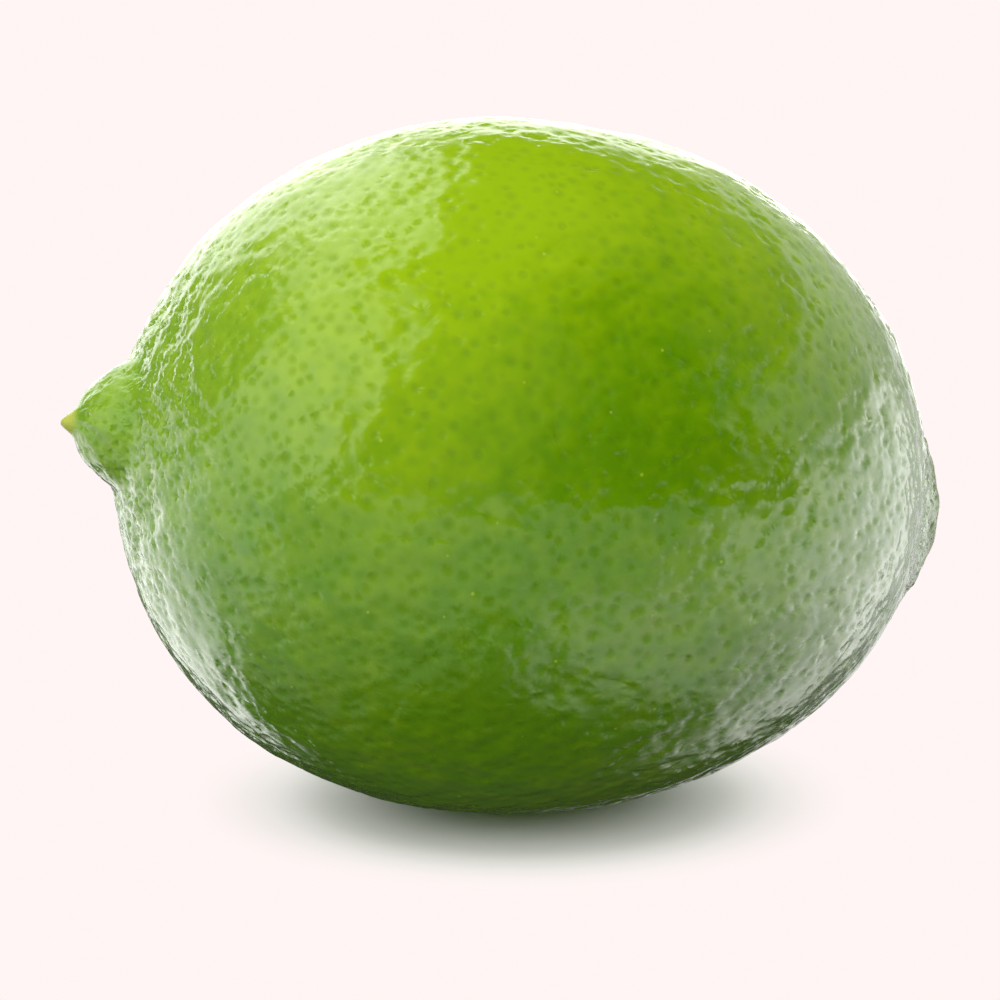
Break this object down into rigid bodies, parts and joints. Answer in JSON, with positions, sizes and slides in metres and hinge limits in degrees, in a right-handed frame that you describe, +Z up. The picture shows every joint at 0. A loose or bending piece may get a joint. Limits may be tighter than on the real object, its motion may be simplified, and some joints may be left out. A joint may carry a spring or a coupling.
{
  "type": "lime",
  "caption": "Whole ripe green lime lying on its side, with a pitted glossy rind, a nipple at the style end and a dried calyx in the hollow of the stem end.",
  "frame": {"origin": "middle of the flat spot that the fruit rests on, nearly below its centre of mass", "axes": "+Z up, +X towards the stem end, -X towards the nipple at the style end"},
  "size_m": [0.0658, 0.0508, 0.0505],
  "materials": {
    "rind": "waxy, glossy citrus rind, pitted with oil glands, yellowish green with darker green pits",
    "calyx": "dry, matte, yellowish brown-green"
  },
  "bodies": {
    "root": {"lime_fruit": "rind", "calyx_button": "calyx"}
  },
  "joints": []
}
